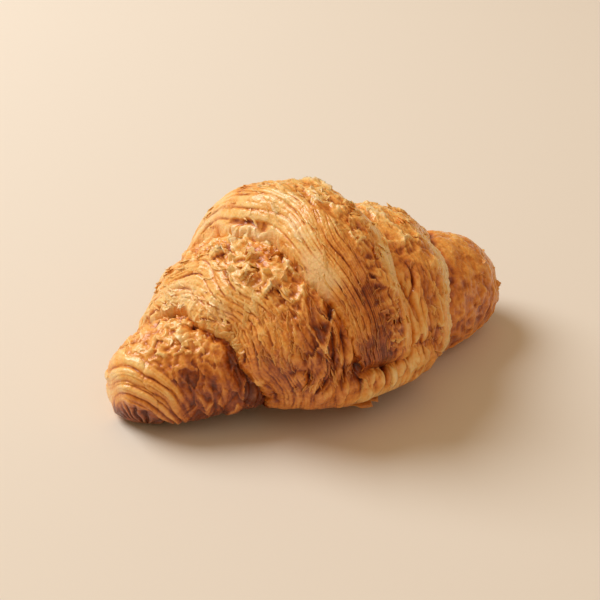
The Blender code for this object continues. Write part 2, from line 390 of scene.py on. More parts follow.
def closed_mesh(name, points, ends, fields):
    """A ball whose rings are the grid's rows, with poles at the two ends and the fields as attributes."""
    rows, columns = points.shape[:2]
    ball = bmesh.new()
    bmesh.ops.create_uvsphere(ball, u_segments=columns, v_segments=rows + 1, radius=1.0)
    mesh = bpy.data.meshes.new(name)
    ball.to_mesh(mesh)
    ball.free()
    place = np.empty(len(mesh.vertices) * 3, np.float32)
    mesh.vertices.foreach_get("co", place)
    place = place.reshape(-1, 3).astype(float)
    polar = np.arctan2(np.hypot(place[:, 0], place[:, 1]), place[:, 2])
    row = np.rint(polar / math.pi * (rows + 1)).astype(int) - 1
    turn = np.arctan2(place[:, 1], place[:, 0])
    column = np.rint(turn / math.tau * columns).astype(int) % columns
    inner = np.clip(row, 0, rows - 1)
    world = points[inner, column]
    world[row < 0] = ends[0]
    world[row >= rows] = ends[1]
    mesh.vertices.foreach_set("co", world.astype(np.float32).ravel())
    add_fields(mesh, {key: field[inner, column] for key, field in fields.items()})
    mesh.shade_smooth()
    mesh.update()
    return mesh


def add_fields(mesh, fields):
    for key, values in fields.items():
        attribute = mesh.attributes.new(key, "FLOAT", "POINT")
        attribute.data.foreach_set("value", np.asarray(values, np.float32))


def place_piece(name, mesh):
    """Puts the mesh in the scene as a piece that stands for the solid."""
    mesh.materials.append(crust_material())
    piece = bpy.data.objects.new(name, mesh)
    bpy.context.scene.collection.objects.link(piece)
    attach(piece, "root")
    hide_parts("croissant")
    return piece


def finish_skin(name, points, ends, height, toast, cream, side=-1):
    """Makes the piece of a grid. The grid is turned where its rows run the other way from the ball's."""
    # The cavity field masks painted shade in the hollows and painted light on the crests.
    around = sum(share * smoothed(height, rounds) for share, rounds in (CAVITY_NEAR, CAVITY_FAR))
    cavity = around - height
    fields = {"toast": toast, "cream": cream, "cavity": cavity / MM}
    if side > 0:
        points = points[::-1]
        ends = ends[::-1]
        fields = {key: field[::-1] for key, field in fields.items()}
    return place_piece(name, closed_mesh(name, points, ends, fields))


def keep_skin(name, side, angle, inset, shown, smooth, points, toast):
    """Keeps what the loose flakes need of a skin."""
    outs = normals_of(smooth)
    SKINS[name] = SimpleNamespace(
        side=side, angle=angle, inset=inset, shown=shown, outs=outs, points=points, toast=toast
    )


def spread(start, stop, steps, crowding=1.0):
    """Rows of places from start up to, but not at, stop."""
    share = (np.arange(steps) / steps) ** crowding
    return start + (stop - start) * share[:, None]


def all_round(columns):
    return np.linspace(-90, 270, columns, endpoint=False)


# ===== The foot: the lower front, below the tab's tip
SWELL_DEPTH, SWELL_X, SWELL_REACH = 2.6 * MM, 0.0, 0.020
SWELL_ANGLES = (-40, -16, TAB_TIP_ANGLE - 7, TAB_TIP_ANGLE + 2)
SIDE_SWELL = 0.6  # share of the swelling that goes up beside the tab's right edge
SIDE_SWELL_WIDTHS = (0.0, 0.0020, 0.0040, 0.0090)
SIDE_SWELL_ANGLES = (TAB_TIP_ANGLE - 7, TAB_TIP_ANGLE, 8, 26)
OVERHANG, OVERHANG_X, OVERHANG_REACH = 6.0 * MM, -0.014, 0.044
OVERHANG_ANGLE, OVERHANG_TURN = -36, 22
OVERHANG_RISE, OVERHANG_RISE_RUN = 15, (0.0, -0.020)  # how much further up it starts at the left
LIT_FOOT_X, LIT_FOOT_REACH = 0.004, 0.014
LIT_FOOT_ANGLES = (-34, -16, -5, 2)


def foot_swell(x, angle):
    """How far the foot swells out below the tab's tip, and a little way up the tab's right side."""
    below = within(SWELL_ANGLES, angle) * np.exp(-((x - SWELL_X) / SWELL_REACH) ** 4)
    from_tab = x - edges_at(angle)[3]
    beside = within(SIDE_SWELL_WIDTHS, from_tab) * within(SIDE_SWELL_ANGLES, angle)
    return SWELL_DEPTH * (below + SIDE_SWELL * beside)


def overhang(x, angle):
    """How far the lowest part of the front is drawn in, so that the crust overhangs its own shadow."""
    start = OVERHANG_ANGLE + OVERHANG_RISE * smoothstep(*OVERHANG_RISE_RUN, x)
    low = smoothstep(start, start - OVERHANG_TURN, angle) * smoothstep(-90, -80, angle)
    return OVERHANG * low * np.exp(-((x - OVERHANG_X) / OVERHANG_REACH) ** 4)


def foot_shading(x, angle):
    """How much darker the foot is painted: painted shade low down near the floor and on its shaded left, and
    painted light where the light falls on the swell.
    """
    lit = within(LIT_FOOT_ANGLES, angle) * np.exp(-((x - LIT_FOOT_X) / LIT_FOOT_REACH) ** 4)
    # Painted shade near the floor and on the shaded left, and painted light on the lit swell.
    low = 0.26 * smoothstep(-16, -40, angle) + 0.10 * smoothstep(-4, -24, angle) * (1 - lit)
    left = 0.09 * smoothstep(-2, -16, angle) * smoothstep(-0.008, -0.018, x)
    return low + left - 0.14 * lit


# ===== The two ends of the core roll
LOBE_COLUMNS, LOBE_TIP_ROWS, LOBE_ROWS = 340, 80, 130
TIP_CROWDING = 1.7  # above 1, a tip's rows are nearer together towards its nose
LOBE_SCALE = 0.024  # metres along the skin for each radian round the roll
UNDER = 0.0070  # how far a level runs on below the one over it
HIDDEN_RUN = 0.001  # how near the next level's edge a skin is too low to carry flakes
NOSE_FADE = 0.0030  # how far from the end of the roll the relief is full
RING_STRETCH = (1.45, 1.0, 0.95)  # how much nearer together the rings are along each axis
RING_REACH, RING_SPACING, RING_DEPTH = 0.0260, 0.0034, 0.75 * MM
RING_SCALE = 0.011  # metres along a ring for each radian
RING_FOLD, RING_FOLD_SPACING = 1.0 * MM, 0.0036
ROSETTE_REACH, ROSETTE_RIDGES, ROSETTE_HEIGHT = 0.0110, 19, 1.3 * MM
DARK_TIP_RUN = (0.0160, 0.0080)
NOSE_SWELL, NOSE_SWELL_RUN, NOSE_SWELL_ANGLES = 1.2 * MM, (0.030, 0.015), (-40, 30)
NOTCH_DEPTH, NOTCH_REACH, NOTCH_RUN, NOTCH_ANGLES = 1.8 * MM, 0.0125, 0.0020, (-8, -38)
END_SWELL, END_SWELL_RUN, END_SWELL_ANGLES = 1.4 * MM, (0.054, 0.064), (-30, 10, 150, 190)
# What differs between the left lobe (-1) and the right one: the place that the rings go round, how much of
# the skin has rings, gloss and slack folds, how far it is baked in all, and how much darker it is on its sides
# and low down.
LOBE_LOOKS = {
    -1: SimpleNamespace(
        seed=40,
        bend=BEND_LEFT,
        apex=np.array([-0.0680, -0.0020, 0.0010]),
        rings=1.0,
        gloss=1.0,
        slack=1.0,
        toast=0.45,
        side_toast=0.27,
        low_toast=0.16,
    ),
    1: SimpleNamespace(
        seed=60,
        bend=BEND_RIGHT,
        apex=np.array([0.0725, 0.0030, 0.0080]),
        rings=0.35,
        gloss=0.25,
        slack=0.35,
        toast=0.48,
        side_toast=0.14,
        low_toast=0.0,
    ),
}


def ring_folds(place, reach, around, uneven, seed):
    """Sheet edges in rings, on broader folds that are painted paler on their crests and darker between them, as
    painted light and shade.
    """
    height, toast, cream = sheets(reach, around * RING_SCALE, RING_SPACING, RING_DEPTH, seed + 1)
    bent = reach + (0.0008 * uneven + 0.0007 * noise(place, 0.0050, seed + 7))
    fold = np.abs(np.sin(math.pi * bent / RING_FOLD_SPACING)) ** 0.7
    # Painted light on each fold's crest and painted shade between the folds.
    return height + RING_FOLD * fold, toast + 0.20 * (0.65 - fold), cream


def rosette(place, reach, around, uneven, seed):
    """(height, toast) of short ridges that run in to the apex."""
    bent = 1.5 * uneven + 0.9 * noise(place, 0.0040, seed + 8) + reach / 0.006
    ridge = np.abs(np.sin(around * ROSETTE_RIDGES / 2 + bent))
    return ROSETTE_HEIGHT * (ridge - 0.6), 0.18 - 0.26 * ridge


def nose_rings(place, apex, seed):
    """(relief, share) of the rings round the apex of a nose, and of the rosette inside them."""
    away = place - apex
    reach = np.linalg.norm(away * RING_STRETCH, axis=-1)
    around = np.arctan2(-away[..., 1], away[..., 2])
    uneven = noise(place, 0.012, seed)
    torn_reach = reach + 0.0012 * uneven
    height, toast, cream = ring_folds(place, torn_reach, around, uneven, seed)
    ridge_height, ridge_toast = rosette(place, reach, around, uneven, seed)
    near = smoothstep(ROSETTE_REACH + 0.002, ROSETTE_REACH - 0.002, torn_reach)
    height = height * (1 - near) + near * ridge_height
    toast = (0.9 * toast - 0.07) * (1 - near) + near * ridge_toast
    toast = toast + 0.10 * smoothstep(*DARK_TIP_RUN, reach + 0.002 * uneven)
    share = smoothstep(RING_REACH + 0.0015, RING_REACH - 0.0025, reach + 0.0030 * uneven)
    facing = smoothstep(0.0135, 0.0060, away[..., 0] + 0.0030 * uneven) + smoothstep(0.4, -0.1, around)
    return (height, toast, 0.5 * cream * (1 - near)), share * np.clip(facing, 0, 1)


def lobe_form(side):
    """(x, angle, distance out from the wrap's edge, points) of a lobe, from its nose to under the wrap."""
    angle = all_round(LOBE_COLUMNS)
    tip, wrap_edge = edges_from(side, angle)[:2]
    end = side * LENGTH / 2
    inner = wrap_edge - side * UNDER
    nose_rows = spread(end, tip, LOBE_TIP_ROWS, TIP_CROWDING)[1:]
    x = np.concatenate([nose_rows, spread(tip, inner, LOBE_ROWS), [inner]])
    angle = np.broadcast_to(angle, x.shape)
    return x, angle, side * (x - wrap_edge), section(x, angle, *core_size(x, angle))


def lobe_relief(look, x, angle, smooth, top, ringed, rings):
    """The relief of a lobe's skin."""
    seed = look.seed
    along = np.radians(angle) * LOBE_SCALE
    bubbles = smoothstep(-0.8, 0.0, noise(smooth, 0.014, seed + 3))
    open_skin = 1 - rings
    slack = open_skin * look.slack
    glossy = open_skin * look.gloss
    side_skin = slack * (1 - top)
    return mixed((
        (rings, ringed),
        (glossy * top * bubbles, bubbled(smooth, 0.0034, 0.55 * MM, seed + 5)),
        (glossy * top, crumpled(smooth, 0.0038, 0.60 * MM, seed + 6)),
        (glossy * top, flaked(x, along, 0.0045, 0.60 * MM, seed + 8, 0.4)),
        (open_skin - glossy, crumpled(smooth, 0.0085, 0.70 * MM, seed + 7)),
        (side_skin, draped(x, along, 0.0066, 1.00 * MM, seed + 9)),
        (side_skin * smoothstep(-40, -5, angle), flaked(x, along / 2, 0.0050, 0.70 * MM, seed + 11, 0.5)),
        ((open_skin - 0.6 * slack) * (1 - top), crumpled(smooth, 0.0048, 0.60 * MM, seed + 10)),
        (1.0, grained(smooth, seed + 12)),
    ))


def lobe_end(side, x, angle, smooth):
    """(height, toast) of the swelling at a lobe's end and, on the left, of the notch under its nose, which is
    darkened with painted shade.
    """
    if side > 0:
        return END_SWELL * smoothstep(*END_SWELL_RUN, x) * within(END_SWELL_ANGLES, angle), 0.0
    reach = np.linalg.norm((smooth - LOBE_LOOKS[side].apex) * RING_STRETCH, axis=-1)
    swell = smoothstep(*NOSE_SWELL_RUN, reach) * smoothstep(*NOSE_SWELL_ANGLES, angle)
    notch = np.exp(-((reach - NOTCH_REACH) / NOTCH_RUN) ** 2) * smoothstep(*NOTCH_ANGLES, angle)
    # The notch's toast is painted shade.
    return NOSE_SWELL * swell - NOTCH_DEPTH * notch, 0.25 * notch


def lobe_toast_and_shading(look, angle, smooth, top, rings, crevice):
    """How dark a lobe is coloured, besides what its relief says: how far it is baked, darker on its sides, low
    down and on its lower rings, with a painted shadow in the crevice under the wrap's edge.
    """
    toast = look.toast + look.low_toast * smoothstep(20, -35, angle)
    # The crevice's share is a painted shadow cast by the wrap's edge, deeper on the top.
    toast = toast + look.side_toast * (1 - top) * (1 - rings) + (0.10 + 0.22 * top) * crevice
    toast = toast + 0.20 * rings * smoothstep(40, -10, angle)
    return toast + 0.12 * noise(smooth, 0.012, look.seed + 14)


def lobe(name, side):
    """One end of the core roll, with its relief, how far it is baked, and its painted light and shade."""
    look = LOBE_LOOKS[side]
    x, angle, to_wrap, smooth = lobe_form(side)
    end = side * LENGTH / 2
    wander = noise(smooth, 0.016, look.seed)
    top = smoothstep(30, 62, angle + 16 * wander) * smoothstep(0, 40, 196 - angle + 20 * wander)
    ringed, rings = nose_rings(smooth, look.apex, look.seed + 1)
    rings = rings * look.rings
    # The crevice under the wrap's edge sinks, and carries a painted shadow.
    crevice = smoothstep(0.0052, 0.0004, to_wrap + 0.0015 * noise(smooth, 0.005, look.seed + 16))
    height, toast, cream = lobe_relief(look, x, angle, smooth, top, ringed, rings)
    swell, darker = lobe_end(side, x, angle, smooth)
    height = (height + swell) * smoothstep(0.0, NOSE_FADE, np.abs(end - x))
    height = height - (0.6 + 0.6 * top) * MM * crevice
    toast = toast + darker + lobe_toast_and_shading(look, angle, smooth, top, rings, crevice)
    points = raised(smooth, height)
    points[..., 1] += overhang(x, angle)
    keep_skin(name, side, angle, to_wrap, to_wrap > HIDDEN_RUN, smooth, points, toast)
    nose = (end, AXIS_SHIFT + look.bend, NOSE_LIFT)
    return finish_skin(name, points, [nose, points[-1].mean(axis=0)], height, toast, cream, side)


# ===== The wrap, in two halves that meet under the band
WRAP_COLUMNS, WRAP_ROWS = 470, 190
EDGE_CROWDING = 1.12  # above 1, the rows are nearer together towards the cut edge
ROUND_SCALE = 0.042  # metres along the skin for each radian round the roll
TORN_RUN = 0.004  # how far in from a torn edge the slope follows it
# A cut edge's raw lip: how far in from the edge each of its rows is, and its share of the lip's height.
LIP = ((0.0030, -1.8), (0.0010, -0.6), (0.0003, -0.1), (0.0, 0.25), (0.00003, 0.6), (0.00015, 0.9))
STILL_ROWS = 4  # rows of the wrap's lip that have no relief
LIP_FADE = (-0.0001, 0.0004)  # distances from the cut edge between which the wrap's relief fades in
# What differs between the left half (-1) and the right one: the width of the sloping sheets and how much
# more it is at the top, how much of the skin is flaky rather than broadly crumpled, how far it is baked in all,
# in a strip along the edge and in spots out from the band, and the painted shade on its front. Cream spots are
# in from the cut edge.
WRAP_LOOKS = {
    -1: SimpleNamespace(
        seed=80,
        slope_run=0.0090,
        slope_growth=0.0035,
        sheet_depth=0.95 * MM,
        flake_size=0.0068,
        flaky=1.0,
        toast=0.41,
        front_shade=0.22,
        pale_strip=0.0,
        toast_spots=((0.11, (0.0115, 28, 0.0055, 17)),),
        cream_spots=((0.0022, 97, 0.0015, 13), (0.0034, 68, 0.0018, 8), (0.0045, 118, 0.0012, 15)),
    ),
    1: SimpleNamespace(
        seed=120,
        slope_run=0.0065,
        slope_growth=0.0,
        sheet_depth=0.45 * MM,
        flake_size=0.0092,
        flaky=0.6,
        toast=0.44,
        front_shade=0.05,
        pale_strip=0.27,
        toast_spots=(
            (-0.14, (0.0030, 20, 0.0040, 26)),
            (0.18, (0.0090, 38, 0.0032, 14)),
            (0.14, (0.0048, 58, 0.0026, 17)),
        ),
        cream_spots=(),
    ),
}


def ragged(angle, seed):
    """How far a cut edge is torn from its line."""
    place = flat_place(np.radians(angle) * ROUND_SCALE, 0.0)
    fine = 0.55 * MM * noise(place, 0.0027, seed + 1) + 0.25 * MM * noise(place, 0.0012, seed + 2)
    return 0.90 * MM * noise(place, 0.0085, seed) + fine


def lip_rows(edge, towards, sizes_below, sizes_lip):
    """Rows of a cut edge's raw lip: (x, height, half width) lists, from inside the level below to the top."""
    rows = []
    for inset, share in LIP:
        sizes = [below + (lip - below) * share for below, lip in zip(sizes_below, sizes_lip)]
        rows.append([edge + towards * inset, *sizes])
    return rows


def wrap_form(side, seed):
    """(x, angle, distance from the cut edge, points) of half of the wrap, from its cut edge to the seam."""
    angle = all_round(WRAP_COLUMNS)
    _, line, band_near, band_far, _, _ = edges_from(side, angle)
    seam = 0.5 * (band_near + band_far)
    edge = line + ragged(angle, seed)
    start = edge - side * LIP_RUN
    shares = (np.arange(WRAP_ROWS) / (WRAP_ROWS - 1)) ** EDGE_CROWDING
    x = start + (seam - start) * shares[:, None]
    # The formula is read from the smooth line, so the torn edge carries its slope with it.
    torn = np.exp(-np.abs(x - edge) / TORN_RUN) * (edge - line)
    sizes = wrap_size(x - torn, np.broadcast_to(angle, x.shape))
    lip = lip_rows(edge, -side, core_size(edge, angle), [size[0] for size in sizes])
    x, heights, widths = (np.concatenate(parts) for parts in zip(zip(*lip), (x, *sizes)))
    angle = np.broadcast_to(angle, x.shape)
    return x, angle, np.abs(x - edge), section(x, angle, heights, widths)


def wrap_zones(look, angle, inset, wander):
    """How far each point belongs to each zone of the wrap."""
    run = look.slope_run + look.slope_growth * smoothstep(30, 60, angle)
    return SimpleNamespace(
        slope=smoothstep(run + 0.0030, run - 0.0030, inset + 0.0025 * wander),
        foot=smoothstep(-2, -26, angle + 8 * wander) + smoothstep(210, 232, angle + 8 * wander),
        front=smoothstep(62, 12, angle),
        top=smoothstep(32, 62, angle + 16 * wander) * smoothstep(0, 35, 145 - angle + 16 * wander),
        behind=smoothstep(105, 150, angle + 12 * wander),
    )


def wrap_relief(look, zones, x, angle, from_line, smooth):
    """The relief of the wrap's sloping sheets and of its skin."""
    seed = look.seed
    flaky = look.flaky
    along = np.radians(angle) * ROUND_SCALE
    spacing = 0.0028 - 0.0004 * smoothstep(70, 30, angle)
    sloping = zones.slope * (1 - 0.5 * zones.foot)
    chipped = 0.5 * flaky * (1 - zones.foot) * (1 - 0.7 * zones.behind) * (0.5 + 0.5 * zones.top)
    skin = 1 - zones.slope
    top_skin = skin * (1 - zones.foot) * zones.top
    side_skin = skin * (1 - zones.foot) * (1 - zones.top)
    side_flakes = flaky * side_skin * (1 - zones.behind)
    return mixed((
        (sloping, sheets(from_line, along, spacing, look.sheet_depth, seed + 3, 0.18)),
        (chipped, flaked(x, along / 1.5, 0.0034, 0.50 * MM, seed + 24, 0.5)),
        (0.32 * skin, sheets(from_line, along, 0.0034, 0.90 * MM, seed + 6)),
        (flaky * top_skin, flaked(x, along, look.flake_size, 1.30 * MM, seed + 9, flaky)),
        (flaky * top_skin, crumpled(smooth, 0.0040, 0.60 * MM, seed + 13)),
        ((1 - flaky) * top_skin, crumpled(smooth, 0.0080, 1.60 * MM, seed + 14)),
        (side_skin, draped(x, along, 0.0080, (2.3 - 0.4 * flaky) * MM, seed + 15)),
        (side_flakes, flaked(x, along / 2.8, 0.0050, 1.15 * MM, seed + 17, 0.5)),
        (0.5 * skin * zones.foot, draped(x, along, 0.0100, 0.7 * MM, seed + 16)),
        (1.0, grained(smooth, seed + 20)),
        (1.0, (folds(x, angle), 0.0, 0.0)),
    ))


def wrap_toast_and_shading(look, zones, x, angle, inset, from_band, smooth):
    """How dark the wrap is coloured, besides what its relief says: how far it is baked, with painted shade on
    the front and the foot's painted light and shade.
    """
    toast = look.toast - 0.08 * zones.slope * smoothstep(45, 80, angle) - 0.06 * zones.foot
    # The front's share is painted shade, on the side that faces away from the light, and the foot's painted
    # light and shade are added too.
    toast = toast + look.front_shade * zones.front * (1 - zones.foot) + foot_shading(x, angle)
    toast = toast - look.pale_strip * smoothstep(0.0100, 0.0050, inset) * smoothstep(85, 50, angle)
    toast = toast + sum(change * patch(from_band, angle, spot) for change, spot in look.toast_spots)
    return toast + 0.13 * noise(smooth, 0.011, look.seed + 22)


def wrap(name, side):
    """Half of the wrap, with its relief, how far it is baked, and its painted light and shade."""
    look = WRAP_LOOKS[side]
    x, angle, inset, smooth = wrap_form(side, look.seed)
    _, line, band_near, band_far, _, _ = edges_from(side, angle)
    from_band = side * (x - band_near)
    from_seam = np.abs(x - 0.5 * (band_near + band_far))
    wander = noise(smooth, 0.018, look.seed + 2)
    zones = wrap_zones(look, angle, inset, wander)
    height, toast, cream = wrap_relief(look, zones, x, angle, side * (line - x), smooth)
    height = height * (1 - zones.foot * smoothstep(0.0040, 0.0005, from_seam)) + foot_swell(x, angle)
    height = height * smoothstep(*LIP_FADE, inset)
    height[:STILL_ROWS] = 0.0
    toast = toast + wrap_toast_and_shading(look, zones, x, angle, inset, from_band, smooth)
    for spot in look.cream_spots:
        cream = cream + 0.45 * patch(inset + 0.0012 * wander, angle, spot)
    cream = cream * zones.slope * (1 - 0.7 * zones.front)
    points = raised(smooth, height)
    points[..., 1] += overhang(x, angle)
    shown = from_band > HIDDEN_RUN
    shown[:STILL_ROWS] = False
    keep_skin(name, side, angle, inset, shown, smooth, points, toast)
    ends = [points[0].mean(axis=0), points[-1].mean(axis=0)]
    return finish_skin(name, points, ends, height, toast, cream, side)


# ===== The centre band: a closed ribbon from the tab's end over the top to its root low on the back
BAND_ROWS, BAND_COLUMNS, BAND_INNER = 450, 188, 8
BAND_SEED = 160
BROAD, BROAD_LINES = 0.020, 0.030  # widths under which the lips, and the lines on the skin, close up
LIP_RELIEF = (0.0, 0.0, 0.0, 0.6, 0.6, 0.6)  # share of the relief that each row of the band's lips has
INNER_INSET, INNER_DROP = 0.004, 0.0018  # how far the hidden side is in from the edges, and sunk in the wrap
TIP_ROUNDING = 3.0  # degrees in which the tab's tip rises to its full thickness
SKIN_DROP = 0.8 * MM
# The photo's larger marks: distance in from the left edge, angle, half width, half angle
# The pale ridge is partly pale inner dough and partly painted light, where the light catches it; the dark
# hollow over it is a painted shadow under the lip.
LIT_PALE_RIDGE, RIDGE_HEIGHT = (-0.0005, 96, 0.0012, 12), 0.8 * MM
SHADED_HOLLOW, HOLLOW_DEPTH = (0.0009, 102, 0.0006, 13), 1.4 * MM
TAB_RECESS, RECESS_DEPTH = (0.0030, 6, 0.0032, 11), 0.7 * MM
PALE_SHEETS = (0.0022, 54, 0.0026, 10)
DARK_SHEETS = (0.0110, 25, 0.0060, 48)
CREAM_SPOTS = (LIT_PALE_RIDGE, PALE_SHEETS, (0.0040, 78, 0.0010, 6), (0.0030, 140, 0.0016, 13))


def band_form():
    """(x, angle, breadth, share of the relief, points) of the band. Its breadth is 1 except near the tip."""
    angle = np.linspace(TAB_TIP_ANGLE, BAND_END_ANGLE, BAND_ROWS)[:, None]
    _, _, left, right, _, _ = edges_at(angle)
    left = left + ragged(angle, BAND_SEED)
    right = right + ragged(angle, BAND_SEED + 5)
    breadth = np.minimum(1, (right - left) / BROAD)
    across = np.linspace(0, 1, BAND_COLUMNS)
    across = across - 0.06 * np.sin(2 * math.pi * across)
    lip = LIP_RUN * breadth
    x = left + lip + (right - left - 2 * lip) * across
    turn = np.broadcast_to(angle, x.shape)
    rounding = np.clip((angle - TAB_TIP_ANGLE) / TIP_ROUNDING, 0, 1)
    rise = np.sqrt(np.clip(1 - (1 - rounding) ** 2, 0, 1))
    outer = [low + (size - low) * rise for low, size in zip(wrap_size(x, turn), band_size(x, turn))]
    left_lip = lip_rows(left, 1, wrap_size(left, angle), [size[:, :1] for size in outer])
    right_lip = lip_rows(right, -1, wrap_size(right, angle), [size[:, -1:] for size in outer])
    inner_left = left + INNER_INSET * breadth
    inner_right = right - INNER_INSET * breadth
    inner_x = inner_right + (inner_left - inner_right) * np.linspace(0, 1, BAND_INNER)
    inner = [size - INNER_DROP for size in wrap_size(inner_x, np.broadcast_to(angle, inner_x.shape))]
    stretches = [*left_lip, (x, *outer), *right_lip[::-1], (inner_x, *inner)]
    x, heights, widths = (np.concatenate(parts, axis=1) for parts in zip(*stretches))
    relief = [*LIP_RELIEF, *[1.0] * BAND_COLUMNS, *LIP_RELIEF[::-1], *[0.0] * BAND_INNER]
    angle = np.broadcast_to(angle, x.shape)
    return x, angle, breadth, np.array(relief), section(x, angle, heights, widths)


def band_zones(angle, from_left, from_right, wander):
    """How far each point belongs to each zone of the band."""
    sheeted = smoothstep(0.0160, 0.0110, from_left + 0.003 * wander)
    strip = smoothstep(0.0070, 0.0038, from_right + 0.0015 * wander)
    skin = (1 - sheeted) * (1 - strip)
    behind = smoothstep(100, 140, angle + 12 * wander)
    return SimpleNamespace(
        sheeted=sheeted,
        strip=strip,
        skin=skin,
        flaky=skin * (1 - 0.9 * behind),
        behind=behind,
        front=smoothstep(75, 25, angle),
        tab=smoothstep(40, 4, angle + 6 * wander),
    )


def band_marks(angle, from_left, smooth):
    """How far each point belongs to each of the band's larger marks."""
    wobble = noise(smooth, 0.0045, BAND_SEED + 47)
    cream = [patch(from_left + 0.0007 * wobble, angle + 6 * wobble, spot) for spot in CREAM_SPOTS]
    return SimpleNamespace(
        ridge=patch(from_left + 0.0004 * wobble, angle + 9 * wobble, LIT_PALE_RIDGE),
        hollow=patch(from_left + 0.0004 * wobble, angle + 7 * wobble, SHADED_HOLLOW),
        recess=patch(from_left, angle, TAB_RECESS),
        pale_sheets=patch(from_left, angle, PALE_SHEETS),
        dark_sheets=patch(from_left, angle, DARK_SHEETS),
        cream=sum(cream),
    )


def band_relief(zones, x, angle, from_left, from_right, smooth):
    """The relief of the band's sheets and of its skin."""
    seed = BAND_SEED
    along = np.radians(angle) * ROUND_SCALE
    spacing = 0.0040 - 0.0016 * smoothstep(100, 55, angle)
    sheet_depth = (0.95 - 0.25 * zones.front) * MM
    chipped = (0.4 + 0.4 * zones.skin) * (1 - 0.7 * zones.behind)
    back_skin = zones.skin - zones.flaky
    return mixed((
        (zones.sheeted * (1 - zones.strip), sheets(from_left, along, spacing, sheet_depth, seed + 11, 0.14)),
        (chipped, flaked(x, along / 1.5, 0.0034, 0.45 * MM, seed + 50, 0.5)),
        (zones.strip, sheets(from_right, along, 0.0030, 0.35 * MM, seed + 21)),
        (zones.flaky, flaked(x, along, 0.0066, 1.00 * MM, seed + 30, 0.5)),
        (zones.flaky, crumpled(smooth, 0.0040, 0.55 * MM, seed + 35)),
        (0.35 * zones.skin + 0.4 * back_skin, sheets(from_left, along, 0.0034, 0.90 * MM, seed + 38)),
        (back_skin, draped(x, along, 0.0080, 1.10 * MM, seed + 39)),
        (1.0, grained(smooth, seed + 40)),
    ))


def band_toast_and_shading(zones, marks, angle, smooth):
    """How dark the band is coloured, besides what its relief says: how far it is baked, with painted shade on
    the front and in the hollow, and painted light on the pale ridge.
    """
    # The front's share is painted shade, on the side that faces away from the light.
    toast = 0.40 - 0.10 * zones.sheeted * (1 - zones.front) + 0.15 * zones.front + 0.12 * zones.tab
    toast = toast - (0.05 + 0.22 * smoothstep(80, 50, angle)) * zones.strip
    # The hollow's share is a painted shadow, and the ridge's is partly painted light.
    toast = toast + 0.14 * marks.dark_sheets + 0.26 * marks.hollow - 0.22 * marks.ridge
    return toast + 0.13 * noise(smooth, 0.011, BAND_SEED + 45)


def band(name):
    """The band, with its relief, how far it is baked, and its painted light and shade."""
    x, angle, breadth, relief, smooth = band_form()
    _, _, left_line, right_line, _, _ = edges_at(angle)
    narrow = np.minimum(1, (right_line - left_line) / BROAD_LINES)
    from_left = (x - left_line) / narrow
    from_right = (right_line - x) / narrow
    zones = band_zones(angle, from_left, from_right, noise(smooth, 0.018, BAND_SEED + 10))
    marks = band_marks(angle, from_left, smooth)
    height, toast, cream = band_relief(zones, x, angle, from_left, from_right, smooth)
    height = height * (1 - 0.6 * marks.pale_sheets) - SKIN_DROP * zones.skin
    height = height - HOLLOW_DEPTH * marks.hollow + RIDGE_HEIGHT * marks.ridge
    height = height * relief * breadth * smoothstep(0, TIP_ROUNDING, angle - TAB_TIP_ANGLE)
    height = height - RECESS_DEPTH * marks.recess
    toast = toast + band_toast_and_shading(zones, marks, angle, smooth)
    # On the ridge the extra cream is partly painted light; in the hollow the cream gives way to painted shadow.
    cream = (cream + 0.70 * marks.cream + 0.40 * marks.ridge) * zones.sheeted
    cream = cream * (1 - 0.75 * smoothstep(45, 25, angle)) * (1 - marks.hollow)
    points = raised(smooth, height)
    shown = np.broadcast_to(relief == 1, x.shape)
    keep_skin("band", -1, angle, from_left, shown, smooth, points, toast)
    ends = [points[0].mean(axis=0), points[-1].mean(axis=0)]
    return finish_skin(name, points, ends, height, toast, cream)


# ===== Loose flakes: thin, torn, curled leaves of crust that peel off the skins
FLAKE_ROWS, FLAKE_COLUMNS, FLAKE_THICKNESS = 5, 9, 0.00014
FLAKE_ROOT = 0.22  # how deep a flake's root is sunk in the skin, as a share of its length
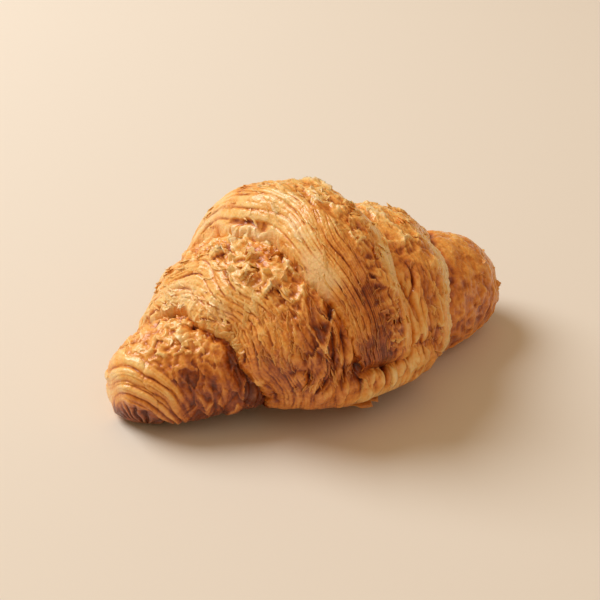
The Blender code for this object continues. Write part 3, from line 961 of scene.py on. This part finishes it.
# Where flakes grow: the skin, the range in from its cut edge and round the roll, how many, the range of the
# length, of the width as a share of the length and of the lift in degrees, how far the heading may turn from
# the cut edge, and how much less they are baked than the skin.
Field = namedtuple("Field", "skin insets angles count lengths aspects lifts turning paler")
FLAKE_FIELDS = (
    Field("wrap_left", (0.0000, 0.0010), (30, 80), 30, (0.0016, 0.0034), (1.0, 2.6), (-30, 20), 30, 0.08),
    Field("wrap_left", (0.0000, 0.0010), (80, 120), 10, (0.0012, 0.0024), (1.2, 3.0), (-25, 20), 30, 0.05),
    Field("wrap_left", (0.0012, 0.0130), (20, 150), 110, (0.0007, 0.0014), (2.5, 6.5), (8, 34), 20, 0.03),
    Field("wrap_left", (0.0110, 0.0300), (55, 110), 50, (0.0014, 0.0032), (0.8, 1.8), (14, 50), 180, 0.03),
    Field("wrap_left", (0.0130, 0.0200), (64, 92), 8, (0.0036, 0.0055), (0.5, 0.9), (20, 60), 180, 0.06),
    Field("wrap_left", (0.0060, 0.0400), (-4, 60), 90, (0.0006, 0.0014), (2.5, 6.0), (8, 40), 25, 0.00),
    Field("band", (0.0003, 0.0160), (40, 150), 80, (0.0006, 0.0012), (3.0, 8.0), (6, 26), 12, 0.02),
    Field("band", (0.0003, 0.0140), (6, 40), 60, (0.0005, 0.0010), (3.0, 8.0), (6, 26), 12, 0.00),
    Field("band", (0.0140, 0.0450), (8, 100), 60, (0.0010, 0.0024), (1.0, 3.0), (8, 34), 180, 0.02),
    Field("wrap_right", (0.0030, 0.0400), (40, 110), 26, (0.0014, 0.0030), (1.2, 2.4), (4, 22), 180, 0.00),
    Field("wrap_right", (0.0030, 0.0300), (-10, 40), 50, (0.0008, 0.0018), (2.0, 5.0), (8, 36), 40, 0.00),
    Field("lobe_left", (0.0010, 0.0200), (35, 150), 24, (0.0008, 0.0014), (1.5, 3.0), (6, 20), 180, 0.00),
    Field("lobe_right", (0.0120, 0.0500), (10, 150), 16, (0.0010, 0.0022), (1.0, 2.4), (14, 60), 60, 0.00),
)
FLAKE_CURL = (-10, 60)  # degrees
FOOT_FLAKE_X, FOOT_FLAKE_ANGLE = -0.0010, -41.0
FOOT_FLAKE_LENGTH, FOOT_FLAKE_WIDTH, FOOT_FLAKE_CURL = 0.0052, 0.0135, 14
FOOT_FLAKE_HEADING, FOOT_FLAKE_ACROSS = (0.25, -1.0, -0.35), (1.0, 0.25, 0.0)
FOOT_FLAKE_TOAST = 0.62
FLOOR_GAP = 0.0003  # how far above the floor the lowest point of a flake stays


def unit(vector):
    return vector / np.linalg.norm(vector)


def flake(root, out, heading, length, width, lift, curl, draw):
    """Grid of a flake's points. It leaves its root at the lift angle and turns by the curl."""
    share = np.linspace(0, 1, FLAKE_ROWS)
    across = np.linspace(-1, 1, FLAKE_COLUMNS)
    turn = lift + curl * share
    forward = np.concatenate([[0], np.cumsum(np.cos(turn[:-1]))]) / (FLAKE_ROWS - 1)
    upward = np.concatenate([[0], np.cumsum(np.sin(turn[:-1]))]) / (FLAKE_ROWS - 1)
    torn = np.clip(1 + 0.20 * draw.normal(size=FLAKE_COLUMNS), 0.5, 1.5)
    reach = length * (1 - 0.80 * across ** 2) * torn
    wavy = 0.06 * length * draw.normal(size=FLAKE_COLUMNS) * share[:, None]
    aside = np.cross(out, heading)
    rise = upward[:, None] * reach - FLAKE_ROOT * length + wavy
    place = root + (forward[:, None] * reach)[..., None] * heading + rise[..., None] * out
    return place + (across * width / 2)[:, None] * aside


def between(limits, value):
    return (value > limits[0]) & (value < limits[1])


def field_flakes(field, draw):
    """(points, toast) of each flake of one field."""
    skin = SKINS[field.skin]
    spots = np.argwhere(skin.shown & between(field.insets, skin.inset) & between(field.angles, skin.angle))
    for row, column in spots[draw.integers(len(spots), size=field.count)]:
        out = skin.outs[row, column]
        to_edge = unit(np.array([skin.side, 0.0, 0.0]) - out * skin.side * out[0])
        turn = math.radians(draw.uniform(-field.turning, field.turning))
        heading = math.cos(turn) * to_edge + math.sin(turn) * np.cross(out, to_edge)
        length = draw.uniform(*field.lengths)
        lift = math.radians(draw.uniform(*field.lifts))
        curl = math.radians(draw.uniform(*FLAKE_CURL))
        width = length * draw.uniform(*field.aspects)
        leaf = flake(skin.points[row, column], out, heading, length, width, lift, curl, draw)
        yield leaf, skin.toast[row, column] - field.paler


def foot_flake(draw):
    """(points, toast) of the one bigger flake that hangs on the foot at the front."""
    skin = SKINS["wrap_left"]
    off = np.abs(skin.points[..., 0] - FOOT_FLAKE_X) / MM + np.abs(skin.angle - FOOT_FLAKE_ANGLE)
    root = skin.points[np.unravel_index(off.argmin(), off.shape)]
    heading = unit(np.array(FOOT_FLAKE_HEADING))
    out = unit(np.cross(np.array(FOOT_FLAKE_ACROSS), heading))
    curl = math.radians(FOOT_FLAKE_CURL)
    leaf = flake(root, out, heading, FOOT_FLAKE_LENGTH, FOOT_FLAKE_WIDTH, 0.0, curl, draw)
    return leaf, FOOT_FLAKE_TOAST


def flake_faces(count):
    """The quads of this many flakes, one after another."""
    size = FLAKE_ROWS * FLAKE_COLUMNS
    corners = np.arange(size).reshape(FLAKE_ROWS, FLAKE_COLUMNS)
    quads = np.stack([corners[:-1, :-1], corners[:-1, 1:], corners[1:, 1:], corners[1:, :-1]], axis=-1)
    return (np.arange(count)[:, None, None] * size + quads.reshape(-1, 4)).reshape(-1, 4)


def flakes(name):
    """All the loose flakes, as one piece."""
    draw = np.random.default_rng(SEED + 1)
    found = [item for field in FLAKE_FIELDS for item in field_flakes(field, draw)]
    found.append(foot_flake(draw))
    points = np.concatenate([grid.reshape(-1, 3) for grid, _ in found])
    points[:, 2] = np.maximum(points[:, 2], FLOOR_GAP)
    mesh = bpy.data.meshes.new(name)
    mesh.from_pydata(points.tolist(), [], flake_faces(len(found)).tolist())
    uneven = 0.05 * draw.normal(size=len(found))
    toast = np.repeat([value for _, value in found] + uneven, FLAKE_ROWS * FLAKE_COLUMNS)
    outward = np.tile(np.repeat(np.linspace(0, 1, FLAKE_ROWS), FLAKE_COLUMNS), len(found))
    # The flakes' cavity field paints shade at each root and light towards the free end.
    add_fields(mesh, {"toast": toast, "cream": 0.08 * outward, "cavity": 0.3 - 0.6 * outward})
    mesh.shade_smooth()
    piece = place_piece(name, mesh)
    thicken = piece.modifiers.new("thickness", "SOLIDIFY")
    thicken.thickness = FLAKE_THICKNESS
    thicken.offset = 0.0
    return piece


# ===== Materials
def linear(red, green, blue):
    """A colour given as 0 to 255 display values."""
    shares = [value / 255 for value in (red, green, blue)]
    return [v / 12.92 if v <= 0.04045 else ((v + 0.055) / 1.055) ** 2.4 for v in shares] + [1.0]


TOAST_RAMP = (
    (0.00, linear(255, 224, 172)),
    (0.20, linear(253, 207, 130)),
    (0.38, linear(245, 173, 80)),
    (0.54, linear(219, 131, 44)),
    (0.72, linear(162, 75, 13)),
    (0.88, linear(104, 39, 8)),
    (1.00, linear(66, 24, 7)),
)
DARKEST_TOAST = 0.85
SPECKLE = 0.30  # how much the baking varies from speck to speck
CREAM_COLOUR, CREAM_SHARE = linear(255, 222, 170), 0.9
# Painted shade: the tint that darkens deep hollows.
HOLLOW_SHADE_TINT = (0.50, 0.24, 0.11, 1.0)  # what a deep hollow's colour is multiplied by
# For each millimetre of a hollow's depth, as painted shade: more toast, less cream, and the share of the tint.
# Crests have negative depth, so there the first two paint light.
CAVITY_SHADING_TOAST, CAVITY_SHADING_CREAM, CAVITY_SHADE_SHARE = 0.22, 0.198, 0.9
PALE_ROUGHNESS, DARK_ROUGHNESS = 0.50, 0.38
SPECK_SCALE, GRAIN_SCALE, WRINKLE_SCALE, WRINKLE_SHARE = 800.0, 1300.0, 330.0, 0.45
BUMP_STRENGTH, BUMP_HEIGHT = 0.65, 0.6 * MM


def set_inputs(tree, node, inputs):
    """Sets each input to its value, or links it to its socket."""
    for key, value in inputs.items():
        if isinstance(value, bpy.types.NodeSocket):
            tree.links.new(value, node.inputs[key])
        else:
            node.inputs[key].default_value = value


def add_node(tree, kind, output, inputs, **settings):
    """Adds a node and returns one of its outputs."""
    node = tree.nodes.new("ShaderNode" + kind)
    for key, value in settings.items():
        setattr(node, key, value)
    set_inputs(tree, node, inputs)
    return node.outputs[output]


def calculate(tree, operation, *values):
    return add_node(tree, "Math", 0, dict(enumerate(values)), operation=operation)


def field_node(tree, name):
    return add_node(tree, "Attribute", "Fac", {}, attribute_name=name)


def noise_node(tree, where, scale, detail, kind="FBM"):
    inputs = {"Vector": where, "Scale": scale, "Detail": detail}
    return add_node(tree, "TexNoise", "Fac", inputs, noise_type=kind)


def mix_node(tree, kind, factor, first, colour):
    inputs = {"Factor": factor, "A": first, "B": colour}
    return add_node(tree, "Mix", "Result", inputs, data_type="RGBA", blend_type=kind)


def ramp_node(tree, factor, stops):
    """A colour ramp of (place, colour) stops, of which the first is at 0 and the last at 1."""
    node = tree.nodes.new("ShaderNodeValToRGB")
    elements = node.color_ramp.elements
    elements[0].color = stops[0][1]
    elements[1].color = stops[-1][1]
    for place, colour in stops[1:-1]:
        elements.new(place).color = colour
    tree.links.new(factor, node.inputs["Fac"])
    return node.outputs["Color"]


def baking_and_shading(tree, where):
    """How dark the crust is coloured at each point: how far it is baked, with specks, darker in the hollows as
    painted shade and paler on the crests as painted light.
    """
    specks = noise_node(tree, where, SPECK_SCALE, 4.0)
    speckle = calculate(tree, "MULTIPLY_ADD", specks, SPECKLE, -SPECKLE / 2)
    # Painted shade in the hollows and painted light on the crests, from the cavity field.
    hollows = calculate(tree, "MULTIPLY", field_node(tree, "cavity"), CAVITY_SHADING_TOAST)
    toast = calculate(tree, "ADD", field_node(tree, "toast"), hollows)
    return calculate(tree, "MINIMUM", calculate(tree, "ADD", toast, speckle), DARKEST_TOAST)


def crust_colour(tree, toast):
    """The crust's colour, paler where inner layers show, with painted shade in deep hollows and painted light
    on crests.
    """
    cavity = field_node(tree, "cavity")
    # Painted shade takes cream away in hollows, and painted light adds it on crests.
    cream_shading = calculate(tree, "MULTIPLY", cavity, CAVITY_SHADING_CREAM)
    cream = calculate(tree, "SUBTRACT", field_node(tree, "cream"), cream_shading)
    cream = calculate(tree, "MULTIPLY", cream, CREAM_SHARE)
    layered = mix_node(tree, "MIX", cream, ramp_node(tree, toast, TOAST_RAMP), CREAM_COLOUR)
    # Painted shade: deep hollows are tinted darker.
    return mix_node(tree, "MULTIPLY", calculate(tree, "MULTIPLY", cavity, CAVITY_SHADE_SHARE), layered, HOLLOW_SHADE_TINT)


def crust_bump(tree, where):
    """Fine wrinkles and grain."""
    wrinkles = noise_node(tree, where, WRINKLE_SCALE, 5.0, "RIDGED_MULTIFRACTAL")
    grain = noise_node(tree, where, GRAIN_SCALE, 4.0)
    relief = calculate(tree, "MULTIPLY_ADD", wrinkles, WRINKLE_SHARE, grain)
    inputs = {"Height": relief, "Strength": BUMP_STRENGTH, "Distance": BUMP_HEIGHT}
    return add_node(tree, "Bump", "Normal", inputs)


def crust_material():
    """Egg-washed crust. Its colour follows how far it is baked, with painted shade in hollows and painted light
    on crests, and dark crust is the glossier.
    """
    material = bpy.data.materials.get("baked_crust")
    if material:
        return material
    material = bpy.data.materials.new("baked_crust")
    material.use_nodes = True
    tree = material.node_tree
    where = add_node(tree, "TexCoord", "Object", {})
    toast = baking_and_shading(tree, where)
    roughness = {"Value": toast, "To Min": PALE_ROUGHNESS, "To Max": DARK_ROUGHNESS}
    set_inputs(tree, tree.nodes["Principled BSDF"], {
        "Base Color": crust_colour(tree, toast),
        "Roughness": add_node(tree, "MapRange", "Result", roughness),
        "Normal": crust_bump(tree, where),
        "Subsurface Weight": 0.15,
        "Subsurface Radius": (1.0, 0.42, 0.14),
        "Subsurface Scale": 0.0025,
        "Specular IOR Level": 0.25,
        "Coat Weight": 0.65,
        "Coat Roughness": 0.17,
    })
    return material


def plain_material(name, colour, roughness):
    material = bpy.data.materials.new(name)
    material.use_nodes = True
    tree = material.node_tree
    inputs = {"Base Color": colour, "Roughness": roughness, "Specular IOR Level": 0.2}
    set_inputs(tree, tree.nodes["Principled BSDF"], inputs)
    return material


# ===== Floor, light and camera
FLOOR_SIZE, FLOOR_DROP, FLOOR_COLOUR = 6.0, 0.0001, linear(230, 225, 216)
ROOM_COLOUR = (0.41, 0.270, 0.138, 1.0)
# Each light: azimuth, elevation and distance, then its size, its power in watts and its colour
LIGHTS = {
    "window": ((212, 47, 1.5), 1.0, 19.0, (1.0, 0.985, 0.965)),
    "soft_box": ((15, 50, 1.5), 1.2, 2.0, (1.0, 0.93, 0.86)),
}
CAMERA_PLACE, CAMERA_TARGET, CAMERA_LENS = (-30.3, 32.5, 0.480), (-0.0064, 0.0, 0.0301), 85.0


def add_floor():
    bpy.ops.mesh.primitive_plane_add(size=FLOOR_SIZE, location=(0, 0, -FLOOR_DROP))
    floor = bpy.context.object
    floor.name = "floor"
    floor.data.materials.append(plain_material("pale_floor", FLOOR_COLOUR, 0.85))


def from_direction(azimuth, elevation, distance):
    """A place seen from the origin. Azimuth 0 is the front, and turns towards +X."""
    turn, rise = math.radians(azimuth), math.radians(elevation)
    flat = distance * math.cos(rise)
    return Vector((flat * math.sin(turn), -flat * math.cos(turn), distance * math.sin(rise)))


def add_area_light(name, place, size, power, colour):
    data = bpy.data.lights.new(name, "AREA")
    data.shape = "DISK"
    data.size = size
    data.energy = power
    data.color = colour
    light = bpy.data.objects.new(name, data)
    light.location = place
    light.rotation_euler = place.to_track_quat("Z", "Y").to_euler()
    bpy.context.scene.collection.objects.link(light)


def add_world(colour):
    world = bpy.data.worlds.new("soft_room")
    world.use_nodes = True
    world.node_tree.nodes["Background"].inputs["Color"].default_value = colour
    bpy.context.scene.world = world


def add_camera():
    data = bpy.data.cameras.new("camera")
    data.lens = CAMERA_LENS
    data.clip_start = 0.01
    camera = bpy.data.objects.new("camera", data)
    back = from_direction(*CAMERA_PLACE)
    camera.location = Vector(CAMERA_TARGET) + back
    camera.rotation_euler = back.to_track_quat("Z", "Y").to_euler()
    bpy.context.scene.collection.objects.link(camera)
    bpy.context.scene.camera = camera


def build():
    lobe("lobe_left", -1)
    lobe("lobe_right", 1)
    wrap("wrap_left", -1)
    wrap("wrap_right", 1)
    band("centre_band")
    flakes("loose_flakes")
    add_floor()
    add_world(ROOM_COLOUR)
    for name, (place, size, power, colour) in LIGHTS.items():
        add_area_light(name, from_direction(*place), size, power, colour)
    add_camera()


bpy.context.scene.view_settings.view_transform = "Standard"
build()
